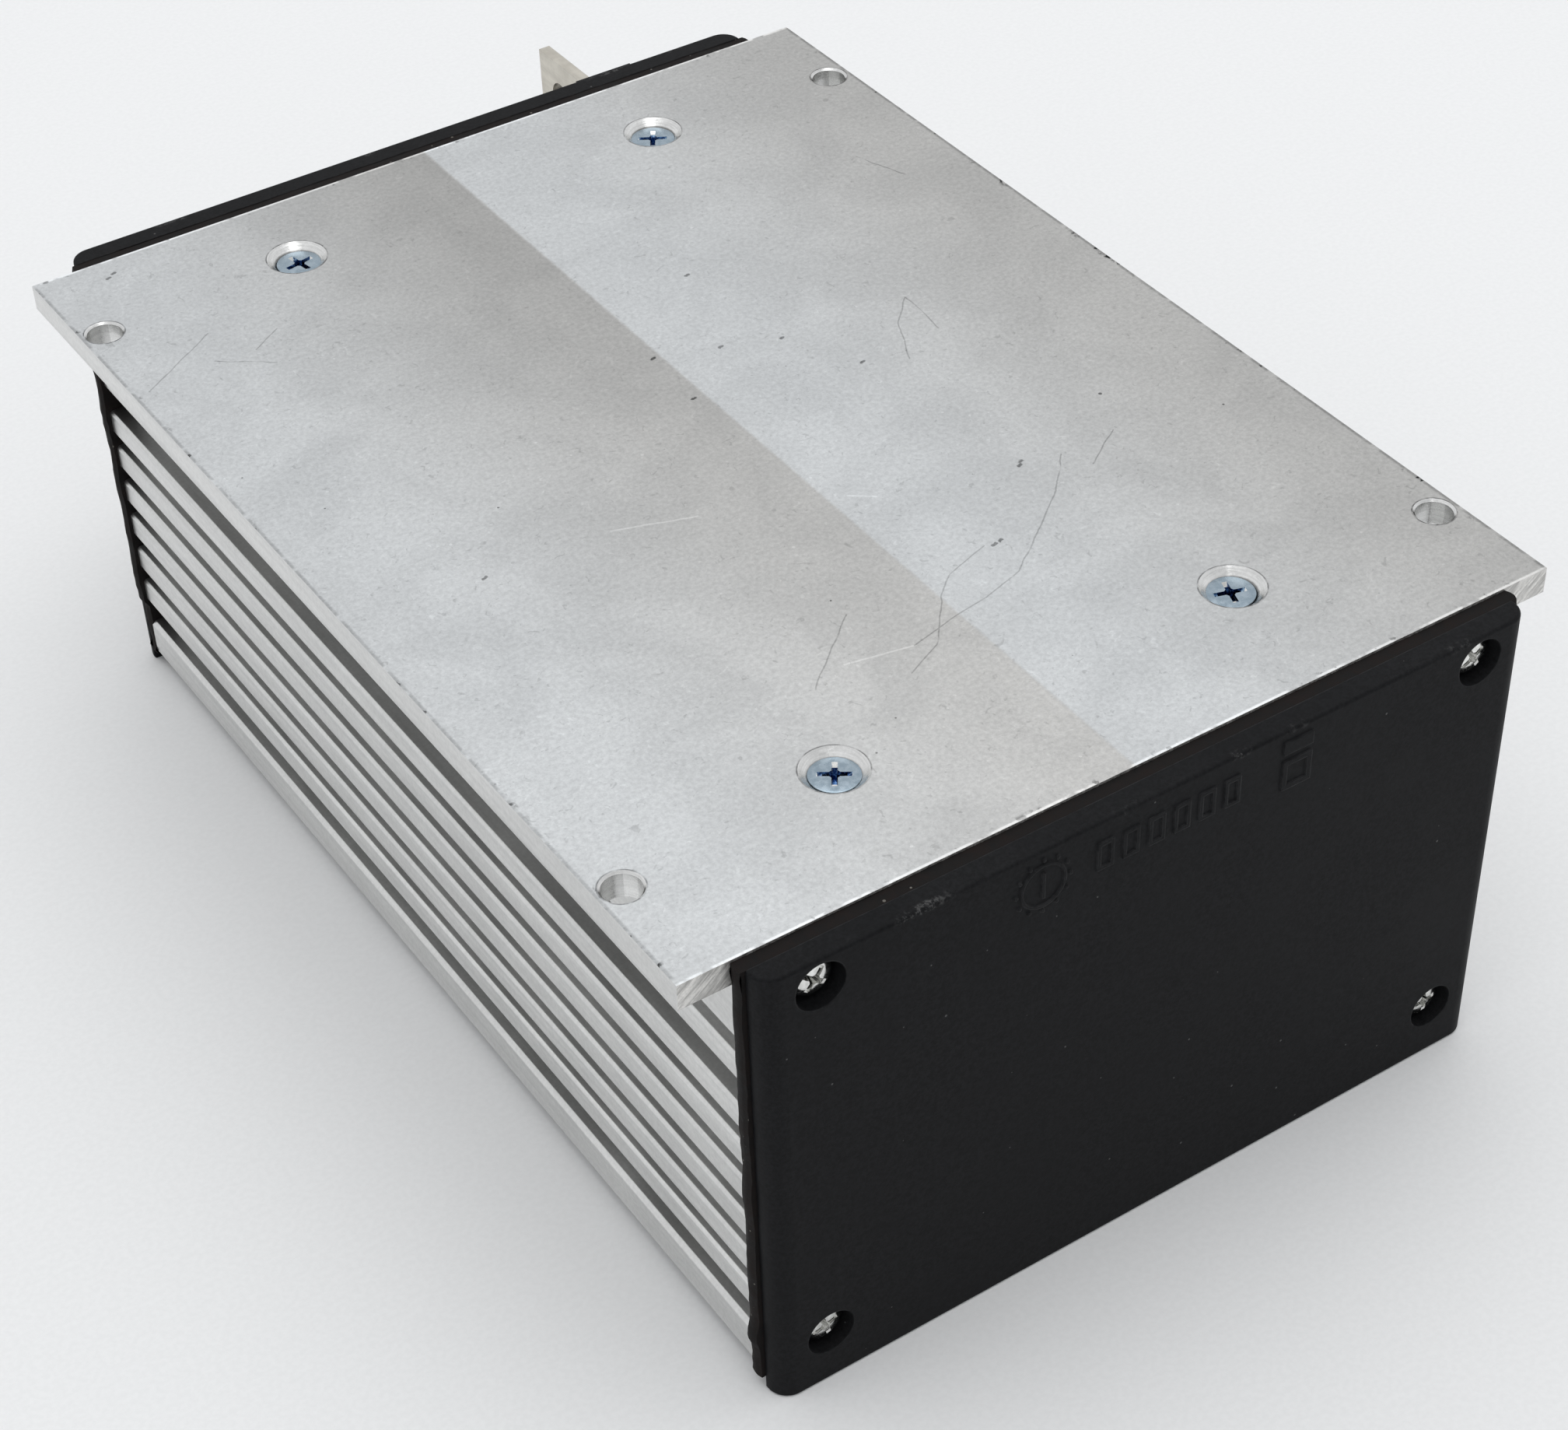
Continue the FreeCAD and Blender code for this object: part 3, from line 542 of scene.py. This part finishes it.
def plastic(name, dark, light, rough, scale=90.0, grit=2200.0):
    """A moulded or printed plastic with a fine grain."""
    p = Paint(name, specular=0.45)
    cloud = p.noise(scale, 4.0, 0.6)
    fine = p.noise(grit, 3.0, 0.6)
    color = p.tint(p.vary(cloud), dark, light)
    roughness = p.vary(cloud, rough - 0.05, rough + 0.08)
    return p.done(color, roughness, p.bump(fine, 0.02 * MM, p.soft_edge(0.12 * MM)))


def laminate(name, dark, light):
    """A circuit board: solder mask over faint tracks and small bare pads."""
    p = Paint(name, specular=0.5)
    weave = p.noise(1.0, 2.0, 0.5, p.stretch((900.0, 900.0, 900.0)))
    tracks = p.noise(1.0, 0.0, 0.0, p.stretch((70.0, 260.0, 70.0)))
    track = p.span(tracks, 0.50, 0.52)
    pad = p.specks(240.0, 0.6, 0.16)
    color = p.tint(track, dark, light)
    color = p.tint(p.times(pad, 0.8), color, rgb(0.55, 0.52, 0.42))
    height = p.add(p.times(track, 0.6), p.times(weave, 0.2))
    return p.done(color, p.vary(weave, 0.28, 0.42), p.bump(height, 0.03 * MM))


SEGMENT = segment_group()
PALETTE = {
    "extrusion": extruded_flank(),
    "milled_aluminium": metal(
        "milled_aluminium", rgb(0.62, 0.63, 0.64), rgb(0.78, 0.79, 0.80), 0.32, (40, 900, 900)),
    "cap_plastic": cap_plastic(),
    "gasket_rubber": rubber("gasket_rubber", 0.002),
    "seal_rubber": rubber("seal_rubber", 0.0),
    "zinc_screw": zinc_screw(),
    "thermal_silicone": plastic(
        "thermal_silicone", rgb(0.42, 0.43, 0.47), rgb(0.55, 0.56, 0.60), 0.75),
    "power_laminate": laminate("white_laminate", rgb(0.74, 0.75, 0.72), rgb(0.82, 0.83, 0.80)),
    "green_laminate": laminate(
        "green_laminate", rgb(0.012, 0.095, 0.035), rgb(0.020, 0.150, 0.055)),
    "chip_plastic": plastic(
        "chip_plastic", rgb(0.014, 0.014, 0.015), rgb(0.028, 0.028, 0.030), 0.5),
    "tinned_copper": metal(
        "tinned_copper", rgb(0.50, 0.47, 0.41), rgb(0.68, 0.65, 0.58), 0.36, (300, 60, 900)),
    "capacitor_sleeve": plastic(
        "capacitor_sleeve", rgb(0.02, 0.03, 0.06), rgb(0.03, 0.045, 0.085), 0.3),
    "brass_spacer": metal(
        "turned_brass", rgb(0.62, 0.47, 0.22), rgb(0.78, 0.62, 0.32), 0.28, (60, 60, 2600)),
    "insulating_film": plastic(
        "insulating_film", rgb(0.66, 0.64, 0.55), rgb(0.74, 0.72, 0.63), 0.4),
    "connector_plastic": plastic(
        "connector_plastic", rgb(0.016, 0.017, 0.019), rgb(0.030, 0.031, 0.034), 0.42),
    "pin_brass": metal(
        "plated_pins", rgb(0.70, 0.60, 0.36), rgb(0.84, 0.76, 0.52), 0.22, (300, 60, 900)),
}
BRIGHT_NICKEL = nickel_screw()
ROOF, SAWN, BORE, CONE = milled_roof(), sawn_end(), drilled_bore(), turned_cone()
RECESS_SHADE = recess_painted_shade()


def dress_cad_nodes():
    """Gives every CAD node the material of its slot."""
    slots = {s["node"]: s["material_slot"] for s in frame["record"]["subparts"]}
    for name, obj in NODES.items():
        obj.data.materials.clear()
        obj.data.materials.append(PALETTE[slots[name]])


# ------------------------------------------------------------------ mesh helpers
def make_piece(name, bm, material, node, angle=32.0):
    """A finished piece that stands in for a CAD node. Edges sharper than angle stay sharp."""
    for edge in bm.edges:
        edge.smooth = len(edge.link_faces) == 2 and edge.calc_face_angle(0.0) < math.radians(angle)
    for face in bm.faces:
        face.smooth = True
    mesh = bpy.data.meshes.new(name)
    bm.to_mesh(mesh)
    bm.free()
    mesh.materials.append(material)
    obj = bpy.data.objects.new(name, mesh)
    bpy.context.scene.collection.objects.link(obj)
    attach(obj, "root")
    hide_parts(node)
    return obj


def turned(profile, sides=72):
    """A closed solid of revolution about Z from (radius, height) points, top to bottom."""
    bm = bmesh.new()
    rings = []
    for radius, height in profile:
        if radius == 0.0:
            rings.append([bm.verts.new((0.0, 0.0, height))])
            continue
        ring = []
        for i in range(sides):
            a = 2.0 * math.pi * i / sides
            ring.append(bm.verts.new((radius * math.cos(a), radius * math.sin(a), height)))
        rings.append(ring)
    for upper, lower in zip(rings, rings[1:]):
        for i in range(sides):
            j = (i + 1) % sides
            if len(upper) == 1:
                bm.faces.new((upper[0], lower[i], lower[j]))
            elif len(lower) == 1:
                bm.faces.new((upper[j], upper[i], lower[0]))
            else:
                bm.faces.new((upper[j], upper[i], lower[i], lower[j]))
    return bm


def tapered_slot(half_len, half_wide, end_len, end_wide, depth, turn):
    """A wedge cutter along X, narrower at its bottom, standing a little above z = 0."""
    bm = bmesh.new()
    lift = 0.4 * MM
    grow = lift / depth
    levels = []
    for share, z in ((-grow, lift), (1.0, -depth)):
        hx = half_len + (end_len - half_len) * share
        hy = half_wide + (end_wide - half_wide) * share
        corners = ((-hx, -hy), (hx, -hy), (hx, hy), (-hx, hy))
        levels.append([bm.verts.new((cx, cy, z)) for cx, cy in corners])
    top, low = levels
    bm.faces.new(top)
    bm.faces.new(low[::-1])
    for i in range(4):
        j = (i + 1) % 4
        bm.faces.new((top[j], top[i], low[i], low[j]))
    bmesh.ops.rotate(bm, verts=bm.verts, matrix=Matrix.Rotation(turn, 3, "Z"))
    return bm


def work_object(bm):
    """A short-lived object for the boolean cuts."""
    bmesh.ops.recalc_face_normals(bm, faces=bm.faces)
    mesh = bpy.data.meshes.new("work")
    bm.to_mesh(mesh)
    bm.free()
    obj = bpy.data.objects.new("work", mesh)
    bpy.context.scene.collection.objects.link(obj)
    return obj


def carve(body, cutters):
    """The body with each cutter taken away, as a new mesh."""
    target = work_object(body)
    tools = [work_object(c) for c in cutters]
    for tool in tools:
        cut = target.modifiers.new("cut", "BOOLEAN")
        cut.operation = "DIFFERENCE"
        cut.solver = "EXACT"
        cut.object = tool
    graph = bpy.context.evaluated_depsgraph_get()
    result = bmesh.new()
    result.from_object(target, graph)
    for obj in tools + [target]:
        mesh = obj.data
        bpy.data.objects.remove(obj)
        bpy.data.meshes.remove(mesh)
    bmesh.ops.remove_doubles(result, verts=result.verts, dist=1e-7)
    return result


def cross_cutters(size, turn):
    """The four-armed recess of a cross screw, with its flared middle."""
    # Half length and half width at the top, the same at the bottom, and depth, as shares of size.
    shallow_arm = (1.0, 0.175, 0.82, 0.14, 0.16)
    deep_arm = (0.76, 0.15, 0.48, 0.09, 0.85)
    middle = (0.34, 0.34, 0.14, 0.14, 0.8)
    cutters = []
    for quarter in (0.0, math.pi / 2):
        for arm in (shallow_arm, deep_arm):
            cutters.append(tapered_slot(*(share * size for share in arm), turn + quarter))
    cutters.append(tapered_slot(*(share * size for share in middle), turn + math.pi / 4))
    return cutters


def node_mesh(node):
    """A copy of a CAD node's mesh with its split corners joined."""
    bm = bmesh.new()
    bm.from_mesh(NODES[node].data)
    bmesh.ops.remove_doubles(bm, verts=bm.verts, dist=1e-6)
    return bm


def placed(bm, matrix, into):
    """Adds a mesh, moved by the matrix, to another one."""
    mesh = bpy.data.meshes.new("work")
    bm.to_mesh(mesh)
    bm.free()
    mesh.transform(matrix)
    into.from_mesh(mesh)
    bpy.data.meshes.remove(mesh)


# ------------------------------------------------------------------ screws
def sink_spots():
    """Where the four roof screws stand, left to right and front to rear."""
    low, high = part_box("roof_screws")
    return [(x, y) for x in (low.x + SINK_HEAD, high.x - SINK_HEAD)
            for y in (low.y + SINK_HEAD, high.y - SINK_HEAD)]


def shank_end(shank, tip):
    """The profile's lower end: a plain shank with a small chamfer."""
    chamfer = 0.5 * MM
    return [(shank, tip + chamfer), (shank - chamfer, tip), (0.0, tip)]


def recess_faces(screw, plain, deep_shade, lit_ledge):
    """Gives the faces of a cross recess their own materials: the deep faces a dark blue as painted
    shade, the upward ledges near the top a brighter metal as a painted highlight.
    """
    for face in screw.faces:
        centre = face.calc_center_median()
        face.material_index = plain
        in_reach = math.hypot(centre.x, centre.y) < SINK_HEAD - 0.6 * MM
        # Steep faces deep in the recess get painted shade; upward ledges near the top get a painted
        # highlight.
        if in_reach and -2.9 * MM < centre.z < -0.01 * MM:
            on_ledge = face.normal.z > 0.4 and centre.z > -0.5 * MM
            face.material_index = lit_ledge if on_ledge else deep_shade


def countersunk_screws():
    """Four flat-headed screws with cross recesses, each turned its own way."""
    low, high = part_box("roof_screws")
    head = SINK_HEAD
    shank = 2.15 * MM
    recess = 2.85 * MM
    profile = [
        (0.0, 0.0), (head - 0.22 * MM, 0.0), (head - 0.06 * MM, -0.05 * MM), (head, -0.16 * MM),
        (head - 0.02 * MM, -0.30 * MM), (shank, -2.5 * MM),
    ]
    profile += shank_end(shank, low.z - high.z)
    turns = [-0.60, 0.19, -0.32, -0.56]
    all_four = bmesh.new()
    for (x, y), turn in zip(sink_spots(), turns):
        screw = carve(turned(profile), cross_cutters(recess, turn))
        recess_faces(screw, plain=0, deep_shade=1, lit_ledge=2)
        placed(screw, Matrix.Translation((x, y, high.z)), all_four)
    obj = make_piece("roof_screw_set", all_four, PALETTE["zinc_screw"], "roof_screws")
    # Painted shade for the recess's deep faces, and the bright nickel as a painted highlight on its
    # ledges.
    obj.data.materials.append(RECESS_SHADE)
    obj.data.materials.append(BRIGHT_NICKEL)


def pan_screws(node, name, outward, turns):
    """Four round-headed screws that lie along Y, with their heads towards outward."""
    low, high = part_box(node)
    head = 3.9 * MM
    head_h = 2.9 * MM
    dome_h = 1.75 * MM
    shank = 1.75 * MM
    recess = 2.7 * MM
    steps = 9
    profile = [(0.0, 0.0)]
    for i in range(steps):
        a = math.radians(14.0 + 76.0 * i / (steps - 1))
        profile.append((head * math.sin(a) ** 0.62, -dome_h * (1.0 - math.cos(a))))
    profile += [(head, -head_h + 0.1 * MM), (head - 0.1 * MM, -head_h), (shank, -head_h)]
    profile += shank_end(shank, low.y - high.y)
    face = high.y if outward > 0 else low.y
    spots = [(x, z) for x in (low.x + head, high.x - head) for z in (low.z + head, high.z - head)]
    turn_to = Euler((math.radians(-90.0 * outward), 0.0, 0.0)).to_matrix().to_4x4()
    all_four = bmesh.new()
    for (x, z), turn in zip(spots, turns):
        screw = carve(turned(profile), cross_cutters(recess, turn))
        placed(screw, Matrix.Translation((x, face, z)) @ turn_to, all_four)
    make_piece(name, all_four, BRIGHT_NICKEL, node)


# ------------------------------------------------------------------ housing
def near_hole(centre, spots, reach):
    return any(math.hypot(centre.x - x, centre.y - y) < reach for x, y in spots)


def surface_kind(face, wing_holes, sinks):
    """Which tool made this face of the tube, as an index into its materials."""
    milled, extruded, sawn, drilled, countersunk = range(5)
    centre = face.calc_center_median()
    normal = face.normal
    if normal.z > 0.99 and centre.z > -0.05 * MM:
        return milled
    if abs(normal.y) > 0.98 and abs(centre.y) > TUBE_END - 0.05 * MM:
        return sawn
    if near_hole(centre, wing_holes, 4.2 * MM) and centre.z > -5.2 * MM:
        return countersunk if normal.z > 0.2 else drilled
    if near_hole(centre, sinks, 6.2 * MM) and centre.z > -7.2 * MM:
        return countersunk
    return extruded


def housing():
    """The tube, with its faces told apart by the tool that made them."""
    wing_x, wing_y = (v * MM for v in WING_HOLE)
    wing_holes = [(side * wing_x, end * wing_y) for side in (-1, 1) for end in (-1, 1)]
    sinks = sink_spots()
    bm = node_mesh("housing_tube")
    for face in bm.faces:
        face.material_index = surface_kind(face, wing_holes, sinks)
    obj = make_piece("housing_faces", bm, ROOF, "housing_tube", 20.0)
    for material in (PALETTE["extrusion"], SAWN, BORE, CONE):
        obj.data.materials.append(material)


# ------------------------------------------------------------------ gaskets
def sliced(bm, axis, low, high, step):
    """Cuts the mesh across an axis at even steps, so that its outline can be shaped."""
    count = max(1, int((high - low) / step))
    normal = Vector([1.0 if i == axis else 0.0 for i in range(3)])
    for i in range(1, count):
        at = normal * (low + (high - low) * i / count)
        everything = bm.verts[:] + bm.edges[:] + bm.faces[:]
        bmesh.ops.bisect_plane(bm, geom=everything, dist=1e-6, plane_co=at, plane_no=normal)


def rough_gasket(node, name, seed, swelling, foot_in):
    """A die-cut gasket with an uneven outer edge. Its sides can swell in one bump each.

    swelling and foot_in are in millimetres: the bump's height, and how far the foot is set in."""
    low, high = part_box(node)
    skin = 0.05 * MM
    bump_z, bump_half = -83.5 * MM, 1.9 * MM
    foot_top = -79.5 * MM
    bm = node_mesh(node)
    for axis, step in ((2, 1.6 * MM), (0, 2.6 * MM), (1, 0.9 * MM)):
        sliced(bm, axis, low[axis], high[axis], step)
    mid_y = (low.y + high.y) / 2
    for v in bm.verts:
        wave = noise.noise(Vector((v.co.x * 90, seed, v.co.z * 130)))
        fine = noise.noise(Vector((v.co.y * 700, seed + 7.0, v.co.z * 600)))
        belly = 1.0 - ((v.co.y - mid_y) / (high.y - low.y) * 2) ** 2
        if abs(v.co.x) > high.x - skin:
            swell = math.exp(-(((v.co.z - bump_z) / bump_half) ** 2))
            foot = 1.0 if v.co.z < foot_top else 0.0
            squeeze = 0.30 * wave + 0.16 * fine + 0.35 * belly - 0.45
            side = math.copysign(1.0, v.co.x)
            v.co.x += side * (squeeze + swelling * swell - foot_in * foot) * MM
        if v.co.z < low.z + skin:
            v.co.z += (0.45 + 0.35 * wave) * MM
        if v.co.z > high.z - skin:
            v.co.z += (0.10 * wave + 0.08 * fine - 0.10) * MM
    make_piece(name, bm, PALETTE["gasket_rubber"], node, 50.0)


# ------------------------------------------------------------------ stage
def floor():
    """A plain pale floor just under the caps' feet."""
    bm = bmesh.new()
    bmesh.ops.create_grid(bm, x_segments=8, y_segments=8, size=5.0)
    mesh = bpy.data.meshes.new("pale_floor")
    bm.to_mesh(mesh)
    bm.free()
    p = Paint("pale_floor", specular=0.2)
    paper = p.noise(900.0, 3.0, 0.6)
    color = p.tint(p.vary(paper), rgb(0.805, 0.81, 0.812), rgb(0.835, 0.84, 0.842))
    mesh.materials.append(p.done(color, p.vary(paper, 0.6, 0.7)))
    obj = bpy.data.objects.new("pale_floor", mesh)
    obj.location = (0.0, 0.0, FLOOR_Z - 0.02 * MM)
    bpy.context.scene.collection.objects.link(obj)


def room_light():
    """Soft light from all round, a little weaker from the front."""
    world = bpy.data.worlds.new("studio")
    world.use_nodes = True
    tree = world.node_tree
    back = tree.nodes["Background"]
    direction = tree.nodes.new("ShaderNodeTexCoord").outputs["Generated"]
    parts = tree.nodes.new("ShaderNodeSeparateXYZ")
    tree.links.new(direction, parts.inputs[0])
    ramp = tree.nodes.new("ShaderNodeMapRange")
    ramp.interpolation_type = "SMOOTHSTEP"
    tree.links.new(parts.outputs[1], ramp.inputs[0])
    front, side = -0.95, -0.2
    for socket, v in zip(ramp.inputs[1:5], (front, side, FRONT_LIGHT, ROOM_LIGHT)):
        socket.default_value = v
    tree.links.new(ramp.outputs[0], back.inputs["Strength"])
    back.inputs["Color"].default_value = rgb(0.975, 0.985, 1.0)
    bpy.context.scene.world = world


def overhead_light():
    """One large soft square light above the unit, aimed at the middle of the roof."""
    place = Vector((0.05, -0.1, 2.2))
    light = bpy.data.lights.new("overhead", "AREA")
    light.shape = "SQUARE"
    light.size = 2.2
    light.energy = 18.5
    obj = bpy.data.objects.new("overhead", light)
    obj.location = place
    obj.rotation_euler = (-place).to_track_quat("-Z", "Y").to_euler()
    bpy.context.scene.collection.objects.link(obj)


def camera():
    """The photograph's place, angle and framing."""
    data = bpy.data.cameras.new("view")
    data.sensor_width = 36.0
    data.lens = 74.58
    data.shift_x = -0.0337
    data.shift_y = 0.0608
    data.clip_start = 0.01
    obj = bpy.data.objects.new("view", data)
    obj.location = (-0.24768, -0.40536, 0.32965)
    obj.rotation_euler = [math.radians(a) for a in (48.2986, 1.0365, -34.1783)]
    bpy.context.scene.collection.objects.link(obj)
    bpy.context.scene.camera = obj


camera()
floor()
room_light()
overhead_light()
bpy.context.scene.view_settings.view_transform = "Standard"
dress_cad_nodes()
housing()
countersunk_screws()
pan_screws("front_cap_screws", "front_cap_screw_set", -1, [0.3, 0.9, 0.1, 0.55])
pan_screws("rear_cap_screws", "rear_cap_screw_set", 1, [0.7, 0.2, 1.1, 0.4])
rough_gasket("front_gasket", "front_gasket_rubber", 3.0, 0.75, 0.0)
rough_gasket("rear_gasket", "rear_gasket_rubber", 11.0, 0.0, 0.9)
